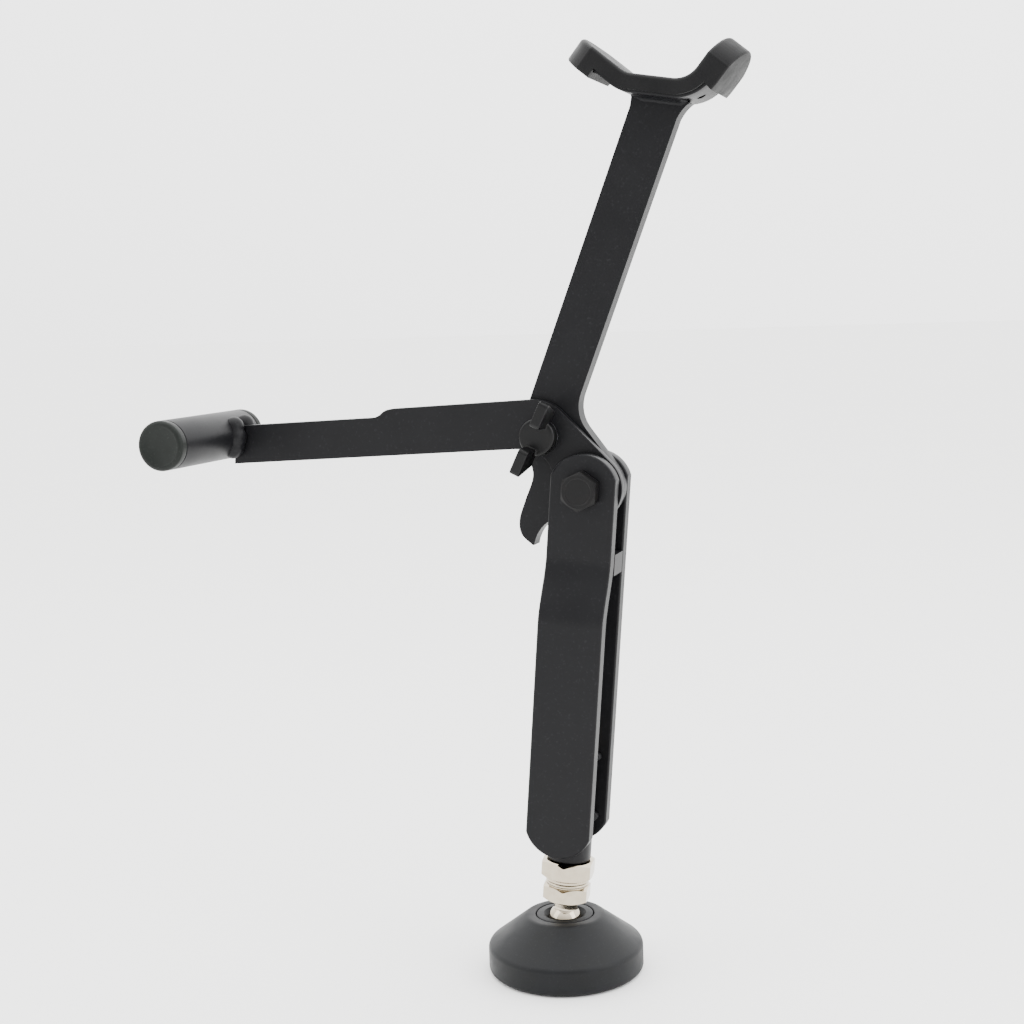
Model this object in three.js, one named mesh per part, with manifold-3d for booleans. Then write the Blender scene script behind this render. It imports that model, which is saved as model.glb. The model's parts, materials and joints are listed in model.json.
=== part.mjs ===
// Portable wheel-lift stand: swivel foot, screwed spindle, two-plate leg, over-centre arm with a padded
// saddle, and a foot lever. Millimetres, +Z up. The origin is the middle of the foot's underside. X runs
// in the plane of the plates, Y runs away from the front plate.
import * as THREE from 'three';
import { mergeVertices } from 'three/addons/utils/BufferGeometryUtils.js';
import Module from 'manifold-3d';

const wasm = await Module();
wasm.setup();

const GAP = 0.3; // clearance kept between touching pieces
const ROUND = 32; // sides on a full circle

// Foot and spindle
const FOOT_R = 30;
const FOOT_H = 22;
const FOOT_RIM_H = 11.4;
const FOOT_TOP_R = 14.7;
const SEAT_R = 11;
const BALL_R = 6.5;
const BALL_Z = 19.5;
const LEAN = THREE.MathUtils.degToRad(5.2); // the leg leans this far in its ball joint
const STUD_R = 5.7;
const STUD_TOP = 74.5;
const HEX_Z = 8.7;
const SHOULDER_Z = 14.8;
const SHOULDER_R = 8.25;

// Leg
const PLATE_W = 25;
const PLATE_T = 6;
const PLATE_X = -1; // the plates stand this far off the spindle's axis
const PLATE_END_R = 13.3;
const PLATE_LOW_Z = 42.5; // middle of the lower round end
const PIVOT_Z = 169;
const REAR_Y = 8.75; // inner face of the rear plate
const FRONT_LOW_Y = -8.75; // inner face of the front plate, at the sleeve
const FRONT_TOP_Y = -2.65; // and at the pivot
const JOGGLE_FROM = 118.5;
const JOGGLE_TO = 143.5;
const SLEEVE_R = 8.45;
const STOP_Z = [137.2, 145.2];

// Pivot bolt
const BOLT_R = 3.9;
const BOLT_HOLE_R = 4.25;
const BOLT_AF = 13;

// Arm, lever and saddle, measured from the pivot
const ARM_Y = [1.45, 8.45];
const ARM_W = 18;
const ARM_TILT = THREE.MathUtils.degToRad(16.4);
const ARM_AT = [-24.75, 1.2]; // a point on the straight part's middle line
const ARM_END_R = 12.5;
const LEVER_Y = [-2.35, 1.15];
const LEVER_END_R = 13.5;
const TUBE_AT = [-153.2, 6.7];
const TUBE_R = 9.5;
const TUBE_WALL = 1.5;
const TUBE_Y = [-44.5, 12.2];
const CAP_T = 4;
const KNOB_AT = [-18.7, 18];
const KNOB_TURN = THREE.MathUtils.degToRad(20.7);
const SCREW_R = 2.7;
const SADDLE_AT = [17.2, 141.9];
const SADDLE_TILT = THREE.MathUtils.degToRad(5.5);
const SADDLE_MID_Y = 5;
const STRIP_T = 2.5;
const STRIP_W = 24;
const PAD_TOP = 6.7;
const PAD_W = 28;
const PAD_SKIRT = 0.95; // how far the pad's sides stop above the strip's underside
const PAD_UNDER = 2.8; // rubber under the strip in the end pockets
const BEND_R = 16; // outer radius of the strip's bends
const LEFT_WING = { sign: -1, bend: THREE.MathUtils.degToRad(29), corner: 13, length: 25.2, pocket: 11.8 };
const RIGHT_WING = { sign: 1, bend: THREE.MathUtils.degToRad(61), corner: 15.3, length: 23.8, pocket: 6.5 };

function solid(geometry) {
  const bare = geometry.clone();
  bare.deleteAttribute('normal');
  bare.deleteAttribute('uv');
  const merged = mergeVertices(bare, 1e-4);
  const index = merged.index.array;
  const triangles = [];
  for (let i = 0; i < index.length; i += 3) {
    const [a, b, c] = [index[i], index[i + 1], index[i + 2]];
    if (a !== b && b !== c && c !== a) triangles.push(a, b, c);
  }
  return new wasm.Manifold(
    new wasm.Mesh({
      numProp: 3,
      vertProperties: new Float32Array(merged.attributes.position.array),
      triVerts: new Uint32Array(triangles),
    }),
  );
}

function node(name, body, [color, roughness, metalness]) {
  const { vertProperties, triVerts } = body.getMesh();
  const geometry = new THREE.BufferGeometry();
  geometry.setAttribute('position', new THREE.BufferAttribute(vertProperties, 3));
  geometry.setIndex(new THREE.BufferAttribute(triVerts, 1));
  geometry.computeVertexNormals();
  const mesh = new THREE.Mesh(geometry, new THREE.MeshStandardMaterial({ color, roughness, metalness }));
  mesh.name = name;
  return mesh;
}

const POWDER = [0x26272a, 0.55, 0.2];
const RUBBER = [0x1c1d1e, 0.75, 0];
const PLASTIC = [0x202122, 0.5, 0];
const NICKEL = [0xc9c3b8, 0.2, 1];
const BLACK_OXIDE = [0x1d1d1f, 0.45, 0.6];
const ZINC = [0xb8bcc0, 0.35, 1];

// A profile of [radius, height] points turned about the Z axis, listed from the bottom to the top.
function turned(points) {
  const profile = points.map(([r, z]) => new THREE.Vector2(r, z));
  return solid(new THREE.LatheGeometry(profile, ROUND).rotateX(Math.PI / 2));
}

// Points of an arc in a profile, angles in degrees.
function arc(cx, cy, r, from, to, steps) {
  const points = [];
  for (let i = 0; i <= steps; i++) {
    const angle = THREE.MathUtils.degToRad(from + ((to - from) * i) / steps);
    points.push([cx + r * Math.cos(angle), cy + r * Math.sin(angle)]);
  }
  return points;
}

// A ring or disc about the Z axis.
function ring(outer, inner, z0, z1, edge = 0.3) {
  const side = [
    [outer - edge, z0],
    [outer, z0 + edge],
    [outer, z1 - edge],
    [outer - edge, z1],
  ];
  if (inner === 0) return turned([[0, z0], ...side, [0, z1]]);
  return turned([[inner, z0], ...side, [inner, z1], [inner, z0]]);
}

// An outline drawn in X and Z, made solid between two values of Y.
function plate(shape, [y0, y1], curveSegments = 14) {
  const geometry = new THREE.ExtrudeGeometry(shape, { depth: y1 - y0, bevelEnabled: false, curveSegments });
  return solid(geometry.rotateX(Math.PI / 2).translate(0, y1, 0));
}

// The same ring or disc turned to lie along Y, at a place in X and Z.
function ringY(outer, inner, [y0, y1], [x, z] = [0, 0], edge = 0.3) {
  return ring(outer, inner, -y1, -y0, edge).rotate([90, 0, 0]).translate([x, 0, z]);
}

function polygon(points) {
  return new THREE.Shape(points.map(([x, z]) => new THREE.Vector2(x, z)));
}

// A hexagon bar with both its ends chamfered, about the Z axis.
function hexagon(acrossFlats, z0, z1, chamfer, firstCorner = 0) {
  const cornerR = acrossFlats / Math.sqrt(3);
  const bar = new THREE.CylinderGeometry(cornerR, cornerR, z1 - z0, 6);
  bar.rotateX(Math.PI / 2).rotateZ(firstCorner).translate(0, 0, (z0 + z1) / 2);
  const flatR = acrossFlats / 2 - 0.3;
  const top = z1 - chamfer;
  const bottom = z0 + chamfer;
  const envelope = turned([
    [0, z0],
    [flatR, z0],
    [cornerR + 0.1, bottom],
    [cornerR + 0.1, top],
    [flatR, z1],
    [0, z1],
  ]);
  return solid(bar).intersect(envelope);
}

// ---- Foot ----
function footBase() {
  const recessR = 26.3;
  return turned([
    [0, 2.5],
    [recessR, 2.5],
    [recessR, 0.3],
    ...arc(FOOT_R - 1.6, 1.9, 1.6, -90, 0, 4),
    ...arc(FOOT_R - 3, FOOT_RIM_H - 2.4, 3, 0, 52, 5),
    ...arc(FOOT_TOP_R - 0.4, FOOT_H - 2, 2, 52, 90, 4),
    [SEAT_R + GAP, FOOT_H],
    [SEAT_R + GAP, 9],
    [0, 9],
  ]);
}

function ballSeat() {
  const socketR = BALL_R + GAP;
  const socket = arc(0, BALL_Z, socketR, -90, 19, 10).map(([r, z]) => [Math.max(r, 0), z]);
  return turned([
    [0, 9.3],
    [SEAT_R, 9.3],
    [SEAT_R, FOOT_H - 0.3],
    [SEAT_R - 0.3, FOOT_H],
    [7.1, FOOT_H],
    ...socket.reverse(),
  ]);
}

function footPad() {
  return ring(26, 0, 0, 2.2, 0.5);
}

// ---- Spindle, measured from the ball's centre along the leg ----
function spindle() {
  const neckR = 4.5;
  const neckZ = Math.sqrt(BALL_R ** 2 - neckR ** 2);
  const neckAngle = THREE.MathUtils.radToDeg(Math.atan2(neckZ, neckR));
  const ball = arc(0, 0, BALL_R, -90, neckAngle, 12).map(([r, z]) => [Math.max(r, 0), z]);
  const shank = turned([
    ...ball,
    [neckR, SHOULDER_Z - 1],
    [SHOULDER_R - 0.4, SHOULDER_Z - 0.4],
    [SHOULDER_R, SHOULDER_Z],
    [SHOULDER_R, SHOULDER_Z + 1.2],
    [SHOULDER_R - 0.3, SHOULDER_Z + 1.5],
    [STUD_R, SHOULDER_Z + 1.5],
    [STUD_R, STUD_TOP - 1.2],
    [STUD_R - 1.2, STUD_TOP],
    [0, STUD_TOP],
  ]);
  return shank.add(hexagon(17, HEX_Z, SHOULDER_Z, 1.1, THREE.MathUtils.degToRad(6)));
}

function jamNut() {
  const body = hexagon(19, 18, 24.9, 1.3, THREE.MathUtils.degToRad(6));
  return body.subtract(ring(STUD_R + GAP, 0, 17, 26, 0));
}

// ---- Leg ----
function plateOutline() {
  const half = THREE.MathUtils.radToDeg(Math.asin(PLATE_W / 2 / PLATE_END_R));
  const top = arc(PLATE_X, PIVOT_Z, PLATE_END_R, 90 - half, 90 + half, 12);
  const bottom = arc(PLATE_X, PLATE_LOW_Z, PLATE_END_R, 270 - half, 270 + half, 12);
  return polygon([...top, ...bottom]);
}

function boltHole() {
  return ringY(BOLT_HOLE_R, 0, [-30, 30], [PLATE_X, PIVOT_Z], 0);
}

function rearPlate() {
  return plate(plateOutline(), [REAR_Y, REAR_Y + PLATE_T]).subtract(boltHole());
}

// The front plate steps inward on its way up, along a smooth S.
function frontPlate() {
  const steps = 10;
  const inner = [[FRONT_LOW_Y, 0]];
  for (let i = 0; i <= steps; i++) {
    const t = i / steps;
    const ease = t * t * (3 - 2 * t);
    inner.push([
      THREE.MathUtils.lerp(FRONT_LOW_Y, FRONT_TOP_Y, ease),
      THREE.MathUtils.lerp(JOGGLE_FROM, JOGGLE_TO, t),
    ]);
  }
  inner.push([FRONT_TOP_Y, PIVOT_Z + 30]);
  const outer = inner.map(([y, z]) => [y - PLATE_T, z]).reverse();
  const section = polygon([...inner, ...outer]);
  const bent = new THREE.ExtrudeGeometry(section, { depth: 60, bevelEnabled: false });
  // turns the section's X and Y to the model's Y and Z, and its depth to X
  const toModel = new THREE.Matrix4().makeBasis(
    new THREE.Vector3(0, 1, 0),
    new THREE.Vector3(0, 0, 1),
    new THREE.Vector3(1, 0, 0),
  );
  bent.applyMatrix4(toModel).translate(-30, 0, 0);
  return solid(bent).intersect(plate(plateOutline(), [-40, 0])).subtract(boltHole());
}

function stopBlock() {
  const half = PLATE_W / 2;
  const size = new THREE.BoxGeometry(PLATE_W, REAR_Y - GAP - LEVER_Y[0], STOP_Z[1] - STOP_Z[0]);
  size.translate(PLATE_X, (REAR_Y - GAP + LEVER_Y[0]) / 2, (STOP_Z[0] + STOP_Z[1]) / 2);
  const edge = new THREE.BoxGeometry(3, 30, 3).rotateY(Math.PI / 4);
  edge.translate(PLATE_X - half, 0, STOP_Z[1] + 0.9);
  return solid(size).subtract(solid(edge));
}

// ---- Arm ----
function armOutline() {
  const along = new THREE.Vector2(Math.sin(ARM_TILT), Math.cos(ARM_TILT));
  const across = new THREE.Vector2(along.y, -along.x);
  const middle = new THREE.Vector2(...ARM_AT);
  const edge = (side, z) => {
    const foot = middle.clone().addScaledVector(across, (side * ARM_W) / 2);
    return foot.addScaledVector(along, (z - foot.y) / along.y);
  };
  const saddleLine = (x) => SADDLE_AT[1] - (x - SADDLE_AT[0]) * Math.tan(SADDLE_TILT) - GAP;
  const bend = edge(1, 27.2);
  const beforeBend = edge(1, 35);
  const tangent = THREE.MathUtils.degToRad(42);
  const afterBend = bend.clone().add(new THREE.Vector2(5.2, -5.8));
  const hookAt = [-6.8, -25.3];
  const hookR = Math.hypot(...hookAt) - ARM_END_R;
  const hookFrom = Math.atan2(-hookAt[1], -hookAt[0]);
  const shape = new THREE.Shape();
  const leftTop = edge(-1, 139);
  const rightTop = edge(1, 134.8);
  shape.moveTo(leftTop.x - 1.2, saddleLine(leftTop.x - 1.2));
  shape.lineTo(leftTop.x, leftTop.y);
  shape.lineTo(edge(-1, 21.5).x, 21.5);
  shape.splineThru([
    new THREE.Vector2(-26.3, 11),
    new THREE.Vector2(-23.2, 5.9),
    new THREE.Vector2(-22.5, 1),
    new THREE.Vector2(-25, -7.5),
    new THREE.Vector2(-26.8, -15),
    new THREE.Vector2(-25.6, -20.5),
    new THREE.Vector2(-21.1, -24.1),
  ]);
  shape.absarc(hookAt[0], hookAt[1], hookR, Math.PI - 0.08, hookFrom, true);
  shape.absarc(0, 0, ARM_END_R, hookFrom - Math.PI, tangent, false);
  shape.lineTo(afterBend.x, afterBend.y);
  shape.quadraticCurveTo(bend.x, bend.y, beforeBend.x, beforeBend.y);
  shape.lineTo(rightTop.x, rightTop.y);
  shape.quadraticCurveTo(rightTop.x + 1.6, rightTop.y + 3.6, rightTop.x + 4.4, saddleLine(rightTop.x + 4.4));
  return shape;
}

function armPlate() {
  const holes = ringY(BOLT_HOLE_R, 0, [-30, 30], [0, 0], 0).add(ringY(SCREW_R + GAP, 0, [-30, 30], KNOB_AT, 0));
  return plate(armOutline(), ARM_Y, 8).subtract(holes);
}

// ---- Lever ----
function leverOutline() {
  const tangent = THREE.MathUtils.degToRad(49.6);
  const lowerLeft = THREE.MathUtils.degToRad(168);
  const shape = new THREE.Shape();
  shape.moveTo(-146.5, -3.9);
  shape.lineTo(-29.2, 12.1);
  shape.quadraticCurveTo(-15.5, 13.9, LEVER_END_R * Math.cos(lowerLeft), LEVER_END_R * Math.sin(lowerLeft));
  shape.absarc(0, 0, LEVER_END_R, lowerLeft, tangent + 2 * Math.PI, false);
  shape.lineTo(-11.2, 27.2);
  shape.quadraticCurveTo(-16.6, 32.2, -24, 31.2);
  shape.lineTo(-79.5, 23.4);
  shape.quadraticCurveTo(-82.5, 22.9, -84, 21.2);
  shape.quadraticCurveTo(-85.5, 19.5, -88.5, 19.1);
  shape.lineTo(-146.9, 11.2);
  return shape;
}

function leverPlate() {
  const holes = ringY(BOLT_HOLE_R, 0, [-30, 30], [0, 0], 0).add(ringY(SCREW_R + 0.5, 0, [-30, 30], KNOB_AT, 0));
  const tube = ringY(TUBE_R + GAP, 0, [-30, 30], TUBE_AT, 0);
  return plate(leverOutline(), LEVER_Y, 10).subtract(holes).subtract(tube);
}

function pedalTube() {
  return ringY(TUBE_R, TUBE_R - TUBE_WALL, TUBE_Y, TUBE_AT, 0.2);
}

// A plug: a head as wide as the tube, and a spigot inside it.
function tubeCap(headFrom, inward) {
  const plugR = TUBE_R - TUBE_WALL - GAP;
  const spigot = 8;
  const profile = [
    [0, -CAP_T],
    ...arc(TUBE_R - 1.4, 1.4 - CAP_T, 1.4, -90, 0, 4),
    [TUBE_R, 0],
    [plugR, 0],
    [plugR - 0.3, spigot],
    [0, spigot],
  ];
  const cap = turned(profile).rotate([inward * -90, 0, 0]);
  return cap.translate([TUBE_AT[0], headFrom, TUBE_AT[1]]);
}

// ---- Wing knob ----
const KNOB_BACK_Y = -3.95;
const KNOB_FRONT_Y = -18;

function wingKnob() {
  const hub = ringY(7, 0, [-9.2, KNOB_BACK_Y], [0, 0], 0.5);
  const wing = polygon([
    [4.4, 9.8],
    [11.3, 5.6],
    [12.2, 8.6],
    [14.7, 17.2],
    [14.2, 18],
    [5.4, 18],
    [4.4, 17],
  ]);
  const thickness = 4;
  const blade = new THREE.ExtrudeGeometry(wing, { depth: thickness, bevelEnabled: false });
  blade.translate(0, 0, -thickness / 2);
  // radius runs along Z and height along -Y before the wings are turned
  const stand = new THREE.Matrix4().makeBasis(
    new THREE.Vector3(0, 0, 1),
    new THREE.Vector3(0, -1, 0),
    new THREE.Vector3(1, 0, 0),
  );
  blade.applyMatrix4(stand);
  const root = new THREE.BoxGeometry(thickness, 3.6, 7).translate(0, -7.4, 7.9);
  const upper = solid(blade).add(solid(root));
  const both = upper.add(upper.rotate([0, 180, 0]));
  const bore = ringY(SCREW_R + GAP, 0, [-8.3, 5], [0, 0], 0);
  const turn = THREE.MathUtils.radToDeg(KNOB_TURN);
  return hub.add(both).subtract(bore).rotate([0, turn, 0]).translate([KNOB_AT[0], 0, KNOB_AT[1]]);
}

// ---- Saddle, in its own frame: the flat's underside is Z = 0 ----
// A wing's point at a distance along it from its corner, raised by an offset from the strip's underside.
function wingPoint(wing, distance, offset) {
  const { sign, bend, corner } = wing;
  return [
    sign * (corner + distance * Math.cos(bend) - offset * Math.sin(bend)),
    distance * Math.sin(bend) + offset * Math.cos(bend),
  ];
}

// The bend between the flat and a wing, listed from the flat outward.
function bendPoints(wing, offset) {
  const { sign, bend, corner } = wing;
  const start = corner - BEND_R * Math.tan(bend / 2);
  const steps = Math.round(THREE.MathUtils.radToDeg(bend) / 8);
  const points = [];
  for (let i = 0; i <= steps; i++) {
    const angle = (bend * i) / steps;
    const r = BEND_R - offset;
    points.push([sign * (start + r * Math.sin(angle)), BEND_R - r * Math.cos(angle)]);
  }
  return points;
}

// A band that follows the strip from wing to wing, between two offsets.
function band(low, high, shorten, y) {
  const edge = (offset) => [
    wingPoint(LEFT_WING, LEFT_WING.length - shorten, offset),
    ...bendPoints(LEFT_WING, offset).reverse(),
    ...bendPoints(RIGHT_WING, offset),
    wingPoint(RIGHT_WING, RIGHT_WING.length - shorten, offset),
  ];
  return plate(polygon([...edge(low), ...edge(high).reverse()]), y);
}

// What has to be cut off a wing to leave its end round in plan.
function tipCutter(wing, radius, length) {
  const middle = length - radius;
  const disc = ring(radius, 0, -20, 20, 0);
  const block = solid(new THREE.BoxGeometry(40, 60, 39).translate(20, 0, 0));
  const cutter = block.subtract(disc).translate([middle, 0, 0]);
  const turn = THREE.MathUtils.radToDeg(wing.bend);
  const placed = cutter.rotate([0, -turn, 0]).translate([wing.corner, SADDLE_MID_Y, 0]);
  return wing.sign > 0 ? placed : placed.mirror([1, 0, 0]);
}

// The rubber under the strip at a wing's end.
function pocket(wing, y) {
  const outline = [
    wingPoint(wing, wing.pocket, STRIP_T),
    wingPoint(wing, wing.pocket + 0.8, -PAD_UNDER),
    wingPoint(wing, wing.length - 0.8, -PAD_UNDER),
    wingPoint(wing, wing.length, 1.2 - PAD_UNDER),
    wingPoint(wing, wing.length, STRIP_T),
  ];
  return plate(polygon(outline), y);
}

const STRIP_SHORT = 3; // the strip's ends lie this far inside the pad's ends

function strip() {
  const half = STRIP_W / 2;
  let body = band(0, STRIP_T, STRIP_SHORT, [SADDLE_MID_Y - half, SADDLE_MID_Y + half]);
  for (const wing of [LEFT_WING, RIGHT_WING]) {
    body = body.subtract(tipCutter(wing, half, wing.length - STRIP_SHORT));
  }
  return body;
}

// The strip's shape made larger by the clearance, to cut its seat in the pad.
function stripSeat() {
  const half = STRIP_W / 2 + GAP;
  let body = band(-GAP, STRIP_T + GAP, STRIP_SHORT - GAP, [SADDLE_MID_Y - half, SADDLE_MID_Y + half]);
  for (const wing of [LEFT_WING, RIGHT_WING]) {
    body = body.subtract(tipCutter(wing, half, wing.length - STRIP_SHORT + GAP));
  }
  return body;
}

function saddlePad() {
  const half = PAD_W / 2;
  const y = [SADDLE_MID_Y - half, SADDLE_MID_Y + half];
  let body = band(PAD_SKIRT, PAD_TOP, 0, y).add(pocket(LEFT_WING, y)).add(pocket(RIGHT_WING, y));
  for (const wing of [LEFT_WING, RIGHT_WING]) {
    body = body.subtract(tipCutter(wing, half, wing.length));
  }
  return body.subtract(stripSeat());
}

// ---- Assembly ----
const stand = new THREE.Group();
stand.add(
  node('foot_base', footBase(), PLASTIC),
  node('foot_pad', footPad(), RUBBER),
  node('ball_seat', ballSeat(), PLASTIC),
);

const leg = new THREE.Group();
leg.position.z = BALL_Z;
leg.rotation.y = LEAN;
stand.add(leg);
leg.add(
  node('spindle', spindle(), NICKEL),
  node('spindle_washer', ring(8.5, STUD_R + GAP, 16.6, 17.7, 0.2), NICKEL),
  node('jam_nut', jamNut(), NICKEL),
  node('threaded_sleeve', ring(SLEEVE_R, STUD_R + GAP, 25.2, 62.5, 0.6), POWDER),
  node('leg_plate_front', frontPlate(), POWDER),
  node('leg_plate_rear', rearPlate(), POWDER),
  node('stop_block', stopBlock(), POWDER),
);

// Everything on the pivot bolt is measured from the bolt's axis.
const pivot = new THREE.Group();
pivot.position.set(PLATE_X, 0, PIVOT_Z);
leg.add(pivot);

const rearFace = REAR_Y + PLATE_T;
const boltHeadY = [FRONT_TOP_Y - PLATE_T - GAP - 5.3, FRONT_TOP_Y - PLATE_T - GAP];
const washerY = [rearFace + GAP, rearFace + GAP + 1.6];
const nutY = [washerY[1] + GAP, washerY[1] + GAP + 8];

// A hexagon along Y with a corner at the top.
function hexagonY(acrossFlats, [y0, y1], chamfer) {
  return hexagon(acrossFlats, -y1, -y0, chamfer, Math.PI / 2).rotate([90, 0, 0]);
}

const boltShank = ringY(BOLT_R, 0, [boltHeadY[1] - 1, nutY[1] + 0.8], [0, 0], 0.5);
const nutHole = ringY(BOLT_R + GAP, 0, [0, 40], [0, 0], 0);
pivot.add(
  node('pivot_bolt', hexagonY(BOLT_AF, boltHeadY, 0.8).add(boltShank), BLACK_OXIDE),
  node('pivot_washer', ringY(8, BOLT_R + GAP, washerY), ZINC),
  node('pivot_nut', hexagonY(BOLT_AF, nutY, 0.9).subtract(nutHole), ZINC),
  node('arm_plate', armPlate(), POWDER),
  node('lever_plate', leverPlate(), POWDER),
  node('pedal_tube', pedalTube(), POWDER),
  node('tube_cap_front', tubeCap(TUBE_Y[0] - GAP, 1), PLASTIC),
  node('tube_cap_rear', tubeCap(TUBE_Y[1] + GAP, -1), PLASTIC),
  node('wing_knob', wingKnob(), PLASTIC),
  node('wing_screw', ringY(SCREW_R, 0, [-8, 8.2], KNOB_AT, 0.5), ZINC),
  node('knob_washer', ringY(6.5, SCREW_R + GAP, [KNOB_BACK_Y + GAP, LEVER_Y[0] - GAP], KNOB_AT, 0.2), ZINC),
);

const saddle = new THREE.Group();
saddle.position.set(SADDLE_AT[0], 0, SADDLE_AT[1]);
saddle.rotation.y = SADDLE_TILT;
pivot.add(saddle);
saddle.add(node('saddle_strip', strip(), POWDER), node('saddle_pad', saddlePad(), RUBBER));

export default stand;
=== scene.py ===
import json
import math

import bmesh
import bpy
from mathutils import Matrix, Vector, noise


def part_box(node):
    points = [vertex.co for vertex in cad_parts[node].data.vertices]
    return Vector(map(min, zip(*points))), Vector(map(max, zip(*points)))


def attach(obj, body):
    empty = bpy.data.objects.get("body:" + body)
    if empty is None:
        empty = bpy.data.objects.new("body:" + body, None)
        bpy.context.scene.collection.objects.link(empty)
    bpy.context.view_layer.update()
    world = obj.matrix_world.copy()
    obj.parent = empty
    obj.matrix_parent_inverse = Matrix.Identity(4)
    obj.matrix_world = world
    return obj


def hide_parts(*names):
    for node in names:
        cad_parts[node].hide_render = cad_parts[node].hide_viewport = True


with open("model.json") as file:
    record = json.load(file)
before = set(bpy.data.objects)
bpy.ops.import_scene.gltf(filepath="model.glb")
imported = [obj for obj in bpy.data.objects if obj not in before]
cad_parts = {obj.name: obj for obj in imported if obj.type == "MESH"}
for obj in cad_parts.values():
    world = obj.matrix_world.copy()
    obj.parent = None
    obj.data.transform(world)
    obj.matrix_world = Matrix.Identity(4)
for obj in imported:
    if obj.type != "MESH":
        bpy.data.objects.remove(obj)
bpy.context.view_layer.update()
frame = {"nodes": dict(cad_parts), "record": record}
mm = 0.001
print("frame loaded,", len(frame["nodes"]), "nodes")

# ---- places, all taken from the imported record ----
joints = {joint["name"]: joint for joint in frame["record"]["behaviour"]["joints"]}
mounts = {mount["name"]: mount for mount in frame["record"]["mounts"]}
legAxis = Vector(joints["height_adjust"]["axis"])


def frameAlong(origin, up):
    # Y stays the world's, Z points up the piece
    z = Vector(up).normalized()
    y = Vector((0, 1, 0))
    turn = Matrix((y.cross(z).normalized(), y, z)).transposed()
    return Matrix.Translation(Vector(origin)) @ turn.to_4x4()


legFrame = frameAlong(joints["foot_tilt"]["pos_m"], legAxis)
pivotFrame = frameAlong(joints["arm_swing"]["pos_m"], legAxis)
saddleMount = mounts["saddle_rest"]
padTop = 6.7  # mm from the strip's underside to the pad's top
saddleFrame = frameAlong(saddleMount["pos_m"], saddleMount["axis"]) @ Matrix.Translation((mm, 0, -padTop * mm))
floorFrame = Matrix.Identity(4)
toY = Matrix.Rotation(math.radians(90), 4, "X")  # turns a piece's own Z to -Y


# ---- mesh helpers, sizes in millimetres ----
def arcPoints(centre, radius, start, end, steps):
    points = []
    for i in range(steps + 1):
        angle = math.radians(start + (end - start) * i / steps)
        points.append((centre[0] + radius * math.cos(angle), centre[1] + radius * math.sin(angle)))
    return points


def curvePoints(a, control, b, steps=10):
    # a quadratic curve, without its first point
    points = []
    for i in range(1, steps + 1):
        t = i / steps
        p = (1 - t) ** 2 * Vector(a) + 2 * t * (1 - t) * Vector(control) + t * t * Vector(b)
        points.append((p.x, p.y))
    return points


def smoothThrough(points, steps=8):
    # Catmull-Rom curve through the points, without its first point
    ends = [points[0]] + list(points) + [points[-1]]
    path = []
    for i in range(1, len(ends) - 2):
        p0, p1, p2, p3 = (Vector(p) for p in ends[i - 1 : i + 3])
        for k in range(1, steps + 1):
            t = k / steps
            p = 0.5 * (2 * p1 + (p2 - p0) * t + (2 * p0 - 5 * p1 + 4 * p2 - p3) * t * t
                       + (3 * p1 - p0 - 3 * p2 + p3) * t ** 3)
            path.append((p.x, p.y))
    return path


def newPiece(name, bm, place=None, sharpAngle=32):
    bmesh.ops.remove_doubles(bm, verts=bm.verts, dist=0.004)
    bmesh.ops.recalc_face_normals(bm, faces=bm.faces)
    mesh = bpy.data.meshes.new(name)
    bm.to_mesh(mesh)
    bm.free()
    mesh.transform((place or floorFrame) @ Matrix.Scale(mm, 4))
    mesh.polygons.foreach_set("use_smooth", [True] * len(mesh.polygons))
    mesh.set_sharp_from_angle(angle=math.radians(sharpAngle))
    piece = bpy.data.objects.new(name, mesh)
    bpy.context.collection.objects.link(piece)
    return piece


def applyModifiers(piece):
    bpy.context.view_layer.update()
    mesh = bpy.data.meshes.new_from_object(piece.evaluated_get(bpy.context.evaluated_depsgraph_get()))
    piece.modifiers.clear()
    piece.data = mesh


def roundCorners(piece, width, angle=30, segments=3):
    bevel = piece.modifiers.new("softEdge", "BEVEL")
    bevel.width = width * mm
    bevel.segments = segments
    bevel.limit_method = "ANGLE"
    bevel.angle_limit = math.radians(angle)


def softenEdges(piece, width, angle=30, segments=3):
    # small corner faces are shaded round, wide faces stay exactly flat
    for edge in piece.data.edges:
        edge.use_edge_sharp = False
    roundCorners(piece, width, angle, segments)
    applyModifiers(piece)
    bm = bmesh.new()
    bm.from_mesh(piece.data)
    wide = 4 * mm * mm
    for edge in bm.edges:
        bends = len(edge.link_faces) == 2 and edge.calc_face_angle() > math.radians(11)
        edge.smooth = not (bends and max(face.calc_area() for face in edge.link_faces) > wide)
    for face in bm.faces:
        face.smooth = True
    bm.to_mesh(piece.data)
    bm.free()


def cutWith(piece, cutters, operation="DIFFERENCE"):
    for cutter in cutters:
        step = piece.modifiers.new("cut", "BOOLEAN")
        step.operation = operation
        step.solver = "EXACT"
        step.object = cutter
    applyModifiers(piece)
    for cutter in cutters:
        bpy.data.objects.remove(cutter)


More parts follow.
